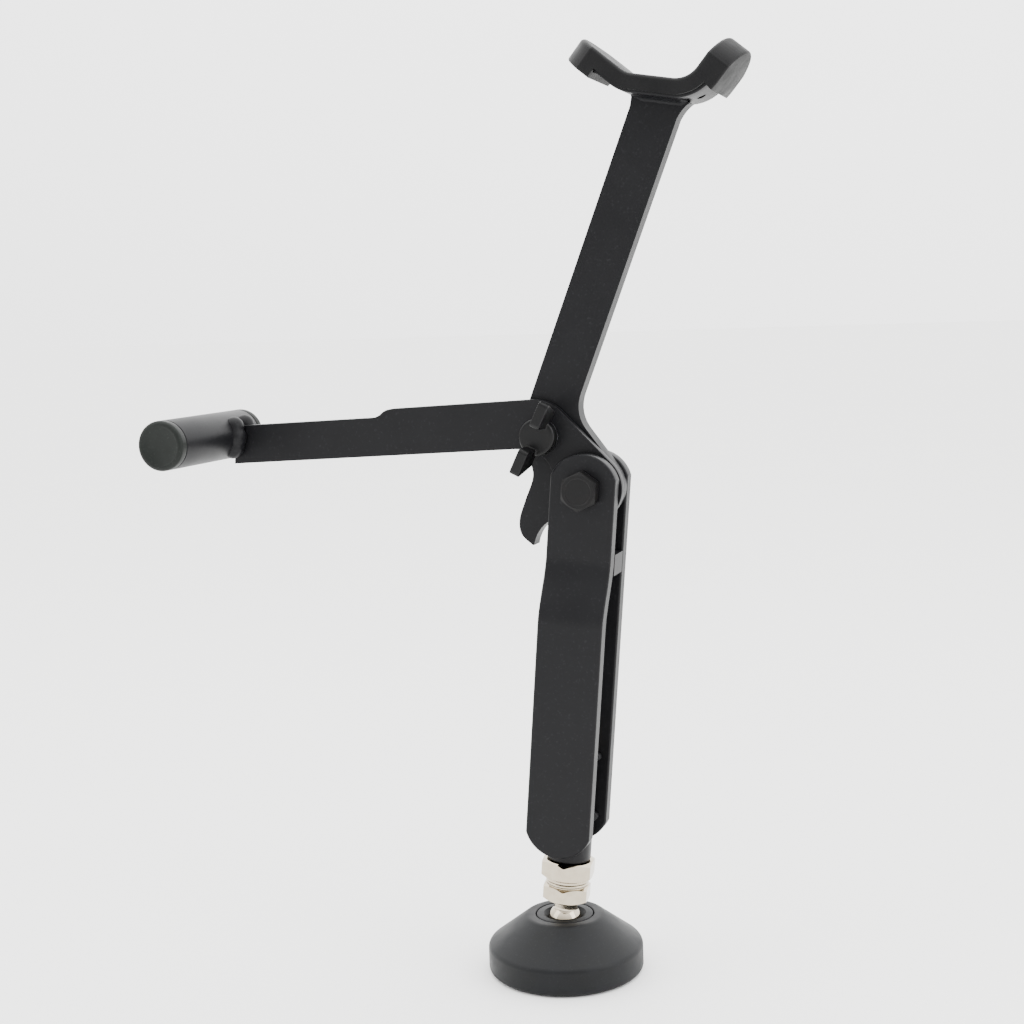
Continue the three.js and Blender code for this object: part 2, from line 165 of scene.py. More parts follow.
def turned(name, profile, place=None, sides=96, sharpAngle=32):
    # profile of (radius, height) turned about Z; open at the axis where it starts and ends there
    bm = bmesh.new()
    rings = []
    for r, z in profile:
        if r < 0.001:
            rings.append([bm.verts.new((0, 0, z))])
            continue
        rings.append([
            bm.verts.new((r * math.cos(2 * math.pi * k / sides), r * math.sin(2 * math.pi * k / sides), z))
            for k in range(sides)
        ])
    closed = profile[0][0] > 0.001
    pairs = list(zip(rings, rings[1:])) + ([(rings[-1], rings[0])] if closed else [])
    for low, high in pairs:
        for k in range(sides):
            n = (k + 1) % sides
            if len(low) == 1 and len(high) == 1:
                continue
            if len(low) == 1:
                bm.faces.new((low[0], high[n], high[k]))
            elif len(high) == 1:
                bm.faces.new((low[k], low[n], high[0]))
            else:
                bm.faces.new((low[k], low[n], high[n], high[k]))
    return newPiece(name, bm, place, sharpAngle)


def outlineBlock(name, outline, low, high, place=None, axis="Y"):
    # an outline in X and Z made solid along Y, or in X and Y made solid along Z
    bm = bmesh.new()
    toSpace = (lambda x, z, d: (x, d, z)) if axis == "Y" else (lambda x, y, d: (x, y, d))
    near = [bm.verts.new(toSpace(x, z, low)) for x, z in outline]
    far = [bm.verts.new(toSpace(x, z, high)) for x, z in outline]
    bm.faces.new(near)
    bm.faces.new(far)
    for i in range(len(outline)):
        n = (i + 1) % len(outline)
        bm.faces.new((near[i], near[n], far[n], far[i]))
    return newPiece(name, bm, place)


def drill(radius, at, place, low=-40, high=40, sides=64):
    # a cutter along Y
    outline = [(at[0] + x, at[1] + z) for x, z in arcPoints((0, 0), radius, 0, 360 - 360 / sides, sides - 1)]
    return outlineBlock("drill", outline, low, high, place)


def hexRadius(angle, acrossFlats, cornerRound):
    # distance to a hexagon's side at an angle, with its corners taken off by a circle
    within = (angle + math.pi / 6) % (math.pi / 3) - math.pi / 6
    return min(acrossFlats / 2 / math.cos(within), acrossFlats / math.sqrt(3) - cornerRound)


def hexagonPiece(name, size, place):
    # hexagon about Z whose ends are turned to a cone, which leaves arcs on its flats
    bm = bmesh.new()
    sides = 144
    low, high = size["z"]
    slope = math.tan(math.radians(size.get("chamferDeg", 30)))
    inner = size["bore"]
    face = size["acrossFlats"] / 2 - 0.4
    rows = []
    for k in range(sides):
        angle = 2 * math.pi * k / sides
        r = hexRadius(angle - size["turn"], size["acrossFlats"], 0.18)
        top = high - max(0, r - face) * slope
        bottom = low + (max(0, r - face) * slope if size.get("bothEnds", True) else 0)
        column = [(inner, low), (inner, high), (face, high), (r, top), (r, bottom), (face, low)]
        if size.get("dish"):
            column[1:2] = [(0, high - 0.22), (size["dish"], high - 0.22), (size["dish"] + 0.35, high)]
        if size.get("lip"):
            column[1:2] = [(inner, high - size["lip"]), (inner + size["lip"], high)]
        rows.append([bm.verts.new((q * math.cos(angle), q * math.sin(angle), z)) for q, z in column])
    count = len(rows[0])
    for k in range(sides):
        here, after = rows[k], rows[(k + 1) % sides]
        for i in range(count):
            n = (i + 1) % count
            bm.faces.new((here[i], after[i], after[n], here[n]))
    return newPiece(name, bm, place, 20)


def threadSurface(bm, size, sides=48, steps=10):
    # a screw thread as one helical skin between two ends that run out to the root
    low, high = size["z"]
    rows = int((high - low) / size["pitch"] * steps)
    rings = []
    for i in range(rows + 1):
        z = low + (high - low) * i / rows
        runOut = min(1, (z - low) / size["pitch"], (high - z) / size["pitch"])
        ring = []
        for k in range(sides):
            phase = (z / size["pitch"] - k / sides) % 1
            crest = min(1, max(0, 1.25 - abs(phase - 0.5) * 2.9))
            r = size["root"] + (size["crest"] - size["root"]) * crest * runOut
            angle = 2 * math.pi * k / sides
            ring.append(bm.verts.new((r * math.cos(angle), r * math.sin(angle), z)))
        rings.append(ring)
    for a, b in zip(rings, rings[1:]):
        for k in range(sides):
            n = (k + 1) % sides
            bm.faces.new((a[k], a[n], b[n], b[k]))
    return rings[0], rings[-1]


def threadedRod(name, size, place):
    bm = bmesh.new()
    first, last = threadSurface(bm, size)
    bm.faces.new(first)
    bm.faces.new(last)
    return newPiece(name, bm, place, 50)


def weldFillet(name, path, size, place):
    # a hollow-faced weld run in a corner: each section goes from the wall below to the plate above
    bm = bmesh.new()
    steps = 40
    rows = []
    for i in range(steps + 1):
        t = i / steps
        span = t * (len(path) - 1)
        part = min(int(span), len(path) - 2)
        at = Vector(path[part]).lerp(Vector(path[part + 1]), span - part)
        ends = min(1, 5 * t + 0.25, 5 * (1 - t) + 0.25)
        lump = 1 + 0.12 * noise.noise(at * 0.55 + Vector((size["seed"], 0, 0)))
        leg = size["leg"] * ends * lump
        out = size["out"] * leg * 1.1
        section = [(0, 0.4), (0, -leg)] + [
            (out * (1 - math.cos(math.radians(a))), -leg * (1 - math.sin(math.radians(a)))) for a in (15, 30, 45, 60, 75)
        ] + [(out, 0.4)]
        rows.append([bm.verts.new((at.x, at.y - 0.3 * size["out"] + y, at.z + z)) for y, z in section])
    bm.faces.new(rows[0])
    bm.faces.new(rows[-1])
    for low, high in zip(rows, rows[1:]):
        for i in range(len(low)):
            n = (i + 1) % len(low)
            bm.faces.new((low[i], low[n], high[n], high[i]))
    return newPiece(name, bm, place, 70)


def weldBead(name, path, size, place):
    # overlapping drops of weld metal along a line, run together
    bm = bmesh.new()
    length = sum((Vector(b) - Vector(a)).length for a, b in zip(path, path[1:]))
    count = max(2, int(length / size["ripple"]))
    for i in range(count + 1):
        t = i / count * (len(path) - 1)
        part = min(int(t), len(path) - 2)
        at = Vector(path[part]).lerp(Vector(path[part + 1]), t - part)
        wobble = noise.noise_vector(at * 0.7 + Vector((size["seed"], 0, 0)))
        scale = size["radius"] * (1 + 0.3 * wobble.x)
        spot = Matrix.Translation(at + wobble * size["wander"])
        bmesh.ops.create_icosphere(bm, subdivisions=3, radius=scale, matrix=spot)
    bead = newPiece(name, bm, place, 180)
    fuse = bead.modifiers.new("fuse", "REMESH")
    fuse.mode = "VOXEL"
    fuse.voxel_size = size["radius"] * 0.14 * mm
    fuse.use_smooth_shade = True
    settle = bead.modifiers.new("settle", "SMOOTH")
    settle.iterations = 9
    applyModifiers(bead)
    return bead


# ---- materials ----
def linear(hexColour):
    channels = [int(hexColour[i : i + 2], 16) / 255 for i in (1, 3, 5)]
    return [c / 12.92 if c <= 0.04045 else ((c + 0.055) / 1.055) ** 2.4 for c in channels] + [1.0]


def addNode(tree, kind, settings=None, links=None):
    node = tree.nodes.new(kind)
    for key, value in (settings or {}).items():
        if isinstance(key, int) or key in node.inputs:
            node.inputs[key].default_value = value
        else:
            setattr(node, key, value)
    for key, socket in (links or {}).items():
        tree.links.new(socket, node.inputs[key])
    return node


def startMaterial(name, settings):
    material = bpy.data.materials.new(name)
    material.use_nodes = True
    tree = material.node_tree
    shader = tree.nodes["Principled BSDF"]
    for key, value in settings.items():
        shader.inputs[key].default_value = value
    return material, tree, shader


def surfaceFinish(tree, shader, finish):
    # colour that drifts a little, roughness that follows a soft cloud, and a fine relief
    place = addNode(tree, "ShaderNodeTexCoord").outputs["Object"]
    cloud = addNode(tree, "ShaderNodeTexNoise", {"Scale": 1 / (finish["cloudMm"] * mm), "Detail": 4},
                    {"Vector": place}).outputs[0]
    grain = addNode(tree, "ShaderNodeTexNoise", {"Scale": 1 / (finish["grainMm"] * mm), "Detail": 2},
                    {"Vector": place}).outputs[0]
    ramp = addNode(tree, "ShaderNodeMapRange", {1: 0.35, 2: 0.65}, {0: cloud})
    base = addNode(tree, "ShaderNodeMix", {"data_type": "RGBA", 6: linear(finish["colour"]),
                                           7: linear(finish["drift"])}, {0: ramp.outputs[0]})
    speck = addNode(tree, "ShaderNodeMapRange", {1: 0.62, 2: 0.72, 3: 0.0, 4: finish["speckShare"]}, {0: grain})
    specked = addNode(tree, "ShaderNodeMix", {"data_type": "RGBA", 7: linear(finish["speck"])},
                      {0: speck.outputs[0], 6: base.outputs[2]})
    tree.links.new(specked.outputs[2], shader.inputs["Base Color"])
    rough = addNode(tree, "ShaderNodeMapRange", {1: 0.3, 2: 0.7, 3: finish["roughness"][0],
                                                 4: finish["roughness"][1]}, {0: cloud})
    tree.links.new(rough.outputs[0], shader.inputs["Roughness"])
    relief = addNode(tree, "ShaderNodeBump", {"Strength": finish["relief"], "Distance": finish["reliefMm"] * mm},
                     {"Height": grain})
    tree.links.new(relief.outputs["Normal"], shader.inputs["Normal"])
    return place, relief


# Polyester powder coat, sprayed and baked: satin black with a fine orange peel and pale dust specks.
# The real peel is about 0.4 mm, drawn at 0.9 mm so that it shows.
powderCoatFinish = {
    "colour": "#0C0C0E", "drift": "#0E0E10", "speck": "#2B2B2E",
    "cloudMm": 14, "grainMm": 0.9, "speckShare": 0.25,
    "roughness": (0.40, 0.45), "relief": 0.3, "reliefMm": 0.05,
}


def makePowderCoat():
    material, tree, shader = startMaterial("powderCoatedSteel", {"Specular IOR Level": 0.14, "IOR": 1.5})
    surfaceFinish(tree, shader, powderCoatFinish)
    return material


# Glass-filled nylon, moulded in a spark-eroded tool: dark grey-black, dull, with a fine even grain.
footNylonFinish = {
    "colour": "#0D0E0F", "drift": "#121315", "speck": "#303133",
    "cloudMm": 9, "grainMm": 0.6, "speckShare": 0.2,
    "roughness": (0.42, 0.56), "relief": 0.22, "reliefMm": 0.05,
}


def makeFootNylon():
    material, tree, shader = startMaterial("mouldedNylon", {"Specular IOR Level": 0.14, "IOR": 1.53})
    surfaceFinish(tree, shader, footNylonFinish)
    return material


# Nitrile rubber, compression moulded: deep black with a slight bloom that greys it where it is handled.
saddleRubberFinish = {
    "colour": "#070708", "drift": "#0A0A0B", "speck": "#1B1C1D",
    "cloudMm": 7, "grainMm": 0.5, "speckShare": 0.18,
    "roughness": (0.44, 0.6), "relief": 0.2, "reliefMm": 0.04,
}


def makeSaddleRubber():
    material, tree, shader = startMaterial("mouldedNitrileRubber", {"Specular IOR Level": 0.14, "IOR": 1.52})
    surfaceFinish(tree, shader, saddleRubberFinish)
    return material


# Polyethylene, injection moulded: dark grey with a green cast, waxy, faintly scuffed on its flat face.
capPlasticFinish = {
    "colour": "#101311", "drift": "#151816", "speck": "#303431",
    "cloudMm": 6, "grainMm": 0.7, "speckShare": 0.3,
    "roughness": (0.42, 0.55), "relief": 0.25, "reliefMm": 0.05,
}


def makeCapPlastic():
    material, tree, shader = startMaterial("mouldedPolyethylene", {"Specular IOR Level": 0.14, "IOR": 1.51})
    surfaceFinish(tree, shader, capPlasticFinish)
    return material


# Nylon 6, injection moulded in a polished tool: black, half gloss, with flow marks too faint to feel.
knobNylonFinish = {
    "colour": "#060607", "drift": "#0A0A0A", "speck": "#151516",
    "cloudMm": 8, "grainMm": 1.2, "speckShare": 0.1,
    "roughness": (0.28, 0.4), "relief": 0.12, "reliefMm": 0.05,
}


def makeKnobNylon():
    material, tree, shader = startMaterial("polishedMouldNylon", {"Specular IOR Level": 0.16, "IOR": 1.53})
    surfaceFinish(tree, shader, knobNylonFinish)
    return material


# Black oxide on a cold-forged bolt: blue-black, oily, slightly blotched.
blackOxideFinish = {
    "colour": "#0A0A0B", "drift": "#0E0D0D", "speck": "#1E1D1D",
    "cloudMm": 4, "grainMm": 0.8, "speckShare": 0.25,
    "roughness": (0.34, 0.5), "relief": 0.3, "reliefMm": 0.05,
}


def makeBlackOxide():
    material, tree, shader = startMaterial("blackOxideSteel", {"Specular IOR Level": 0.14, "IOR": 1.5})
    surfaceFinish(tree, shader, blackOxideFinish)
    return material


# Nickel plate over turned steel: warm and bright, with turning rings 0.4 mm apart that break up reflections.
# The darker, browner drift colour is painted reflection: its soft patches stand in for the dark parts that the plating
# reflects.
nickelFinish = {"colour": "#BDB3A1", "drift": "#A59A86", "roughness": (0.07, 0.15), "ringMm": 0.4}


def makeNickel(name, finish, axis):
    material, tree, shader = startMaterial(name, {"Metallic": 1.0})
    place = addNode(tree, "ShaderNodeTexCoord").outputs["Object"]
    along = addNode(tree, "ShaderNodeVectorMath", {"operation": "DOT_PRODUCT", 1: axis}, {0: place})
    rings = addNode(tree, "ShaderNodeMath", {"operation": "MULTIPLY", 1: 2 * math.pi / (finish["ringMm"] * mm)},
                    {0: along.outputs["Value"]})
    wave = addNode(tree, "ShaderNodeMath", {"operation": "SINE"}, {0: rings.outputs[0]})
    cloud = addNode(tree, "ShaderNodeTexNoise", {"Scale": 1 / (3 * mm), "Detail": 4}, {"Vector": place}).outputs[0]
    # the cloud mixes in the drift colour; on the nickel these darker patches are painted reflection
    colour = addNode(tree, "ShaderNodeMix", {"data_type": "RGBA", 6: linear(finish["colour"]),
                                             7: linear(finish["drift"])}, {0: cloud})
    tree.links.new(colour.outputs[2], shader.inputs["Base Color"])
    rough = addNode(tree, "ShaderNodeMapRange", {1: 0.3, 2: 0.7, 3: finish["roughness"][0],
                                                 4: finish["roughness"][1]}, {0: cloud})
    tree.links.new(rough.outputs[0], shader.inputs["Roughness"])
    height = addNode(tree, "ShaderNodeMath", {"operation": "ADD"}, {0: wave.outputs[0], 1: cloud})
    relief = addNode(tree, "ShaderNodeBump", {"Strength": 0.12, "Distance": 0.01 * mm}, {"Height": height.outputs[0]})
    tree.links.new(relief.outputs["Normal"], shader.inputs["Normal"])
    return material


# Bright zinc plate: cooler and duller than the nickel, with the same fine turning rings.
zincFinish = {"colour": "#BFC3C6", "drift": "#AEB3B5", "roughness": (0.28, 0.4), "ringMm": 0.5}

# Natural nylon locking ring, moulded: milky and slightly see-through.
insertNylonFinish = {
    "colour": "#C9C6BC", "drift": "#D3D0C7", "speck": "#B5B2A8",
    "cloudMm": 3, "grainMm": 0.6, "speckShare": 0.2,
    "roughness": (0.4, 0.5), "relief": 0.1, "reliefMm": 0.05,
}


def makeInsertNylon():
    material, tree, shader = startMaterial("naturalNylonRing", {"Subsurface Weight": 0.2})
    shader.inputs["Subsurface Scale"].default_value = 1 * mm
    surfaceFinish(tree, shader, insertNylonFinish)
    return material


powderCoat = makePowderCoat()
footNylon = makeFootNylon()
saddleRubber = makeSaddleRubber()
capPlastic = makeCapPlastic()
knobNylon = makeKnobNylon()
blackOxide = makeBlackOxide()
nickel = makeNickel("nickelPlatedSteel", nickelFinish, tuple(legAxis))
zinc = makeNickel("zincPlatedSteel", zincFinish, (0, 1, 0))
insertNylon = makeInsertNylon()
print("materials made")


def finishPiece(piece, material, body, slotName, *nodes):
    piece.data.materials.clear()
    piece.data.materials.append(material)
    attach(piece, body)
    if nodes:
        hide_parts(*nodes)


# ---- camera, first ----
view = {
    "at": (184.6, -575.1, 254.8),
    "right": (0.94498, 0.32538, -0.03381), "up": (-0.00875, 0.12848, 0.99171),
    "lensMm": 56.9, "sensorMm": 36,
}
cameraData = bpy.data.cameras.new("studioCamera")
cameraData.lens = view["lensMm"]
cameraData.sensor_width = view["sensorMm"]
cameraData.clip_start = 0.01
camera = bpy.data.objects.new("studioCamera", cameraData)
bpy.context.collection.objects.link(camera)
across = Vector(view["right"]).normalized()
upward = Vector(view["up"])
upward = (upward - across * upward.dot(across)).normalized()
look = Matrix((across, upward, across.cross(upward))).transposed()
camera.matrix_world = Matrix.Translation(Vector(view["at"]) * mm) @ look.to_4x4()
bpy.context.scene.camera = camera
print("camera placed")

# ---- foot ----
foot = {"radius": 30, "rimTop": 11.4, "topRadius": 14.7, "height": 22, "seatRadius": 11, "ballZ": 19.5,
        "padRadius": 26, "padThick": 2.2}


def makeFootBase():
    profile = [
        (0, 2.5), (26.3, 2.5), (26.3, 0.9), *arcPoints((26.9, 0.9), 0.6, 180, 270, 4),
        *arcPoints((foot["radius"] - 2.0, 2.3), 2.0, -90, 0, 10),
        *arcPoints((foot["radius"] - 2.6, foot["rimTop"] - 2.2), 2.6, 0, 53, 12),
        *arcPoints((foot["topRadius"] - 0.7, foot["height"] - 2.6), 2.6, 53, 90, 10),
        (foot["seatRadius"] + 0.75, foot["height"]), *arcPoints((foot["seatRadius"] + 0.75, foot["height"] - 0.45), 0.45, 90, 180, 4),
        (foot["seatRadius"] + 0.3, 9), (0, 9),
    ]
    piece = turned("footMoulding", profile, sides=160, sharpAngle=40)
    finishPiece(piece, footNylon, "foot", "foot_plastic", "foot_base")


def makeBallSeat():
    socket = 6.78
    throat = [(max(r, 0), z) for r, z in arcPoints((0, foot["ballZ"]), socket, -90, 6, 24)]
    profile = [
        (0, 9.3), (foot["seatRadius"] - 0.4, 9.3), (foot["seatRadius"], 9.7),
        (foot["seatRadius"], foot["height"] - 0.6),
        *arcPoints((foot["seatRadius"] - 0.5, foot["height"] - 0.5), 0.5, 0, 90, 4),
        (8.3, foot["height"]), (7.5, foot["height"] - 0.9),
        *throat[::-1],
    ]
    piece = turned("ballSeatInsert", profile, sides=128, sharpAngle=40)
    finishPiece(piece, footNylon, "seat", "foot_plastic", "ball_seat")


def makeFootPad():
    # moulded rings under the disc give it grip
    top = foot["padThick"]
    radius = foot["padRadius"]
    grooves = []
    r = 4.0
    while r < radius - 3:
        grooves += [(r, 0), (r + 0.25, 0.7), (r + 1.0, 0.7), (r + 1.25, 0)]
        r += 3.6
    profile = [(0, 0), *grooves, *arcPoints((radius - 0.8, 0.8), 0.8, -90, 0, 6), (radius, top - 0.4),
               (radius - 0.4, top), (0, top)]
    piece = turned("groundPad", profile, sides=128, sharpAngle=35)
    finishPiece(piece, saddleRubber, "foot", "foot_rubber", "foot_pad")


makeFootBase()
makeBallSeat()
makeFootPad()
print("foot made")

# ---- spindle, nut and washer ----
spindle = {"ball": 6.5, "neck": 4.5, "hexZ": (8.7, 14.8), "acrossFlats": 17, "shoulder": 8.25, "shoulderTop": 16.3,
           "studTop": 74.5, "pitch": 1.75, "crest": 5.85, "root": 5.05, "turn": math.radians(6)}
jamNut = {"acrossFlats": 19, "z": (18, 24.9), "bore": 5.98, "turn": math.radians(6), "lip": 0.7}
washer = {"outer": 8.5, "inner": 6.0, "z": (16.55, 17.75)}


def makeSpindle():
    # one turned piece: ball, neck, hexagon, shoulder and rolled thread
    neckAngle = math.degrees(math.acos(spindle["neck"] / spindle["ball"]))
    low, high = spindle["hexZ"]
    bottom = turned("spindleBall", [
        *[(max(r, 0), z) for r, z in arcPoints((0, 0), spindle["ball"], -90, neckAngle - 5, 28)],
        *curvePoints((4.85, 4.2), (4.5, 4.9), (4.5, 5.8), 5),
        (4.5, low - 0.8), *arcPoints((5.3, low - 0.8), 0.8, 180, 90, 5)[1:],
        (8.0, low + 0.05), (8.0, high + 0.3), (7.4, high + 0.3), (7.4, high + 0.45),
        (spindle["shoulder"] - 0.35, high + 0.45), *arcPoints((spindle["shoulder"] - 0.35, high + 0.8), 0.35, -90, 0, 4)[1:],
        *arcPoints((spindle["shoulder"] - 0.35, spindle["shoulderTop"] - 0.35), 0.35, 0, 90, 4),
        (6.3, spindle["shoulderTop"]), (5.2, spindle["shoulderTop"] + 0.9), (0, spindle["shoulderTop"] + 0.9),
    ], legFrame, sides=128)
    bar = hexagonPiece("spindleHexagon", {"acrossFlats": spindle["acrossFlats"], "z": (low, high), "bore": 7.9,
                                          "turn": spindle["turn"]}, legFrame)
    stud = threadedRod("spindleThread", {"z": (spindle["shoulderTop"] + 0.5, spindle["studTop"]),
                                         "pitch": spindle["pitch"], "crest": spindle["crest"],
                                         "root": spindle["root"]}, legFrame)
    cutWith(bottom, [bar, stud], "UNION")
    bottom.name = "spindleScrew"
    bottom.data.set_sharp_from_angle(angle=math.radians(28))
    finishPiece(bottom, nickel, "spindle_screw", "nickel", "spindle")


def roundRing(name, outer, inner, low, high, edge, place, sides=96):
    profile = [
        *arcPoints((outer - edge, low + edge), edge, -90, 0, 4), *arcPoints((outer - edge, high - edge), edge, 0, 90, 4),
        *arcPoints((inner + edge, high - edge), edge, 90, 180, 4), *arcPoints((inner + edge, low + edge), edge, 180, 270, 4),
    ]
    return turned(name, profile, place, sides, 50)


def makeJamNut():
    piece = hexagonPiece("heightLockNut", jamNut, legFrame)
    finishPiece(piece, nickel, "lock_nut", "nickel", "jam_nut")
    ring = roundRing("shoulderWasher", washer["outer"], washer["inner"], *washer["z"], 0.3, legFrame)
    finishPiece(ring, nickel, "carrier", "nickel", "spindle_washer")


makeSpindle()
makeJamNut()
print("spindle made")

# ---- leg ----
leg = {"width": 25, "thick": 6, "offset": -1, "endRadius": 13.3, "lowCentre": 42.5, "pivotZ": 169,
       "rearY": 8.75, "frontLowY": -8.75, "frontTopY": -2.65, "joggle": (118.5, 143.5), "boltHole": 4.25,
       "edge": 0.7, "sleeve": (8.45, 6.0, 25.2, 62.5)}


def plateOutline():
    half = math.degrees(math.asin(leg["width"] / 2 / leg["endRadius"]))
    top = arcPoints((leg["offset"], leg["pivotZ"]), leg["endRadius"], 90 - half, 90 + half, 40)
    low = arcPoints((leg["offset"], leg["lowCentre"]), leg["endRadius"], 270 - half, 270 + half, 40)
    return top + low


def makePlates():
    hole = (leg["offset"], leg["pivotZ"])
    rear = outlineBlock("rearPlate", plateOutline(), leg["rearY"], leg["rearY"] + leg["thick"], legFrame)
    cutWith(rear, [drill(leg["boltHole"], hole, legFrame)])
    softenEdges(rear, leg["edge"])
    finishPiece(rear, powderCoat, "leg", "powder_coat", "leg_plate_rear")

    front = outlineBlock("frontPlate", plateOutline(), leg["frontLowY"] - leg["thick"], leg["frontLowY"])
    cutWith(front, [drill(leg["boltHole"], hole, floorFrame)])
    bm = bmesh.new()
    bm.from_mesh(front.data)
    bpy.data.objects.remove(front)
    bottom, top = leg["joggle"]
    steps = 24
    for i in range(steps + 1):
        height = (bottom + (top - bottom) * i / steps) * mm
        bmesh.ops.bisect_plane(bm, geom=bm.verts[:] + bm.edges[:] + bm.faces[:], plane_co=(0, 0, height),
                               plane_no=(0, 0, 1), dist=1e-7)
    for vert in bm.verts:
        t = min(1, max(0, (vert.co.z / mm - bottom) / (top - bottom)))
        vert.co.y += (leg["frontTopY"] - leg["frontLowY"]) * (t * t * (3 - 2 * t)) * mm
    bmesh.ops.scale(bm, vec=(1 / mm, 1 / mm, 1 / mm), verts=bm.verts)
    bent = newPiece("frontPlateJoggled", bm, legFrame)
    softenEdges(bent, leg["edge"], 40)
    finishPiece(bent, powderCoat, "leg", "powder_coat", "leg_plate_front")


def makeSleeve():
    outer, inner, low, high = leg["sleeve"]
    piece = roundRing("spindleSleeve", outer, inner, low, high, 0.7, legFrame)
    finishPiece(piece, powderCoat, "leg", "powder_coat", "threaded_sleeve")
    # short welds hold the sleeve to both plates
    seed = 1
    for z in (39.5, 63.2):
        for x in (-4.2, 5.6):
            for y in (-7.6, 7.6):
                size = {"radius": 1.9, "ripple": 1.6, "seed": seed * 3.1, "wander": 0.4}
                bead = weldBead(f"sleeveWeld{seed}", [(x - 1.4, y, z - 1), (x + 1.4, y, z + 1)], size, legFrame)
                finishPiece(bead, powderCoat, "leg", "powder_coat")
                seed += 1
    block = frame["nodes"]["stop_block"]
    roundCorners(block, 0.5)
    block.data.materials.clear()
    block.data.materials.append(powderCoat)


makePlates()
makeSleeve()
print("leg made")

# ---- pivot bolt ----
bolt = {"shank": 3.9, "acrossFlats": 13, "headY": (-14.25, -8.95), "washerY": (15.05, 16.65), "nutY": (16.95, 24.95),
        "end": 25.75}


def makePivotBolt():
    place = pivotFrame @ toY  # its own +Z is now -Y, out of the front plate
    head = hexagonPiece("pivotBoltHead", {"acrossFlats": bolt["acrossFlats"], "z": (-bolt["headY"][1], -bolt["headY"][0]),
                                          "bore": 0, "dish": 4.7, "turn": math.pi / 2 + math.pi / 6, "bothEnds": False}, place)
    shank = turned("pivotShank", [(0, -bolt["end"]), (3.2, -bolt["end"]), (3.6, -bolt["end"] + 0.5), (3.6, -12),
                                  (bolt["shank"], -11.6), (bolt["shank"], 9.6), (3.4, 10.4), (0, 10.4)], place, sides=72)
    cutWith(head, [shank], "UNION")
    head.data.set_sharp_from_angle(angle=math.radians(18))
    head.name = "pivotBolt"
    finishPiece(head, blackOxide, "leg", "black_oxide", "pivot_bolt")
    ring = roundRing("pivotWasher", 8.0, 4.2, -bolt["washerY"][1], -bolt["washerY"][0], 0.3, place)
    finishPiece(ring, zinc, "leg", "zinc", "pivot_washer")
    back = pivotFrame @ Matrix.Rotation(math.radians(-90), 4, "X")  # its own +Z is +Y
    nut = hexagonPiece("pivotLockNut", {"acrossFlats": bolt["acrossFlats"], "z": (bolt["nutY"][0], 22.4), "bore": 4.2,
                                        "turn": math.pi / 2 + math.pi / 6}, back)
    collar = turned("lockNutCollar", [(4.2, 22.0), (6.0, 22.0), (6.0, 23.6), *arcPoints((4.9, 23.6), 1.1, 0, 80, 6),
                                      (4.2, 24.6)], back, 72)
    cutWith(nut, [collar], "UNION")
    nut.data.set_sharp_from_angle(angle=math.radians(25))
    finishPiece(nut, zinc, "leg", "zinc", "pivot_nut")
    insert = roundRing("nutInsert", 5.1, 3.95, 24.3, 24.9, 0.15, back)
    finishPiece(insert, insertNylon, "leg", "zinc")


makePivotBolt()
print("pivot made")

# ---- arm ----
arm = {"y": (1.45, 8.45), "width": 18, "tilt": math.radians(16.4), "middle": (-24.75, 1.2), "endRadius": 12.5,
       "hook": (-6.8, -25.3), "edge": 0.55, "knob": (-18.7, 18), "screwHole": 3.0,
       "saddle": (17.2, 141.9), "saddleTilt": math.radians(5.5)}


def armOutline():
    along = Vector((math.sin(arm["tilt"]), math.cos(arm["tilt"])))
    sideways = Vector((along.y, -along.x))
    middle = Vector(arm["middle"])

    def edgeAt(side, z):
        base = middle + sideways * (side * arm["width"] / 2)
        p = base + along * ((z - base.y) / along.y)
        return (p.x, p.y)

    def underSaddle(x):
        return arm["saddle"][1] - (x - arm["saddle"][0]) * math.tan(arm["saddleTilt"]) - 0.3

    leftTop, rightTop = edgeAt(-1, 139), edgeAt(1, 134.8)
    bend, beforeBend = edgeAt(1, 27.2), edgeAt(1, 35)
    afterBend = (bend[0] + 5.2, bend[1] - 5.8)
    hookRadius = math.hypot(*arm["hook"]) - arm["endRadius"]
    hookFrom = math.degrees(math.atan2(-arm["hook"][1], -arm["hook"][0]))
    outline = [(leftTop[0] + 0.3, underSaddle(leftTop[0] + 0.3)), leftTop, edgeAt(-1, 21.5)]
    outline += smoothThrough([edgeAt(-1, 21.5), (-26.3, 11), (-23.2, 5.9), (-22.5, 1), (-25, -7.5), (-26.8, -15),
                              (-25.6, -20.5), (-21.1, -24.1)])
    outline += arcPoints(arm["hook"], hookRadius, 175.4, hookFrom, 24)
    outline += arcPoints((0, 0), arm["endRadius"], hookFrom - 180, 42, 60)[1:]
    outline += [afterBend]
    outline += curvePoints(afterBend, bend, beforeBend, 12)
    outline += [rightTop]
    outline += curvePoints(rightTop, (rightTop[0] + 1.6, rightTop[1] + 3.6),
                           (rightTop[0] + 4.4, underSaddle(rightTop[0] + 4.4)), 10)
    return outline


def makeArm():
    piece = outlineBlock("liftArm", armOutline(), *arm["y"], pivotFrame)
    cutWith(piece, [drill(leg["boltHole"], (0, 0), pivotFrame), drill(arm["screwHole"], arm["knob"], pivotFrame)])
    softenEdges(piece, arm["edge"], 40)
    finishPiece(piece, powderCoat, "arm", "powder_coat", "arm_plate")


# ---- lever, tube and caps ----
lever = {"y": (-2.35, 1.15), "endRadius": 13.5, "tube": (-153.2, 6.7), "tubeRadius": 9.5, "tubeBore": 8.0,
         "tubeY": (-44.5, 12.2), "capHead": 4.0, "screwHole": 3.2, "edge": 0.45}


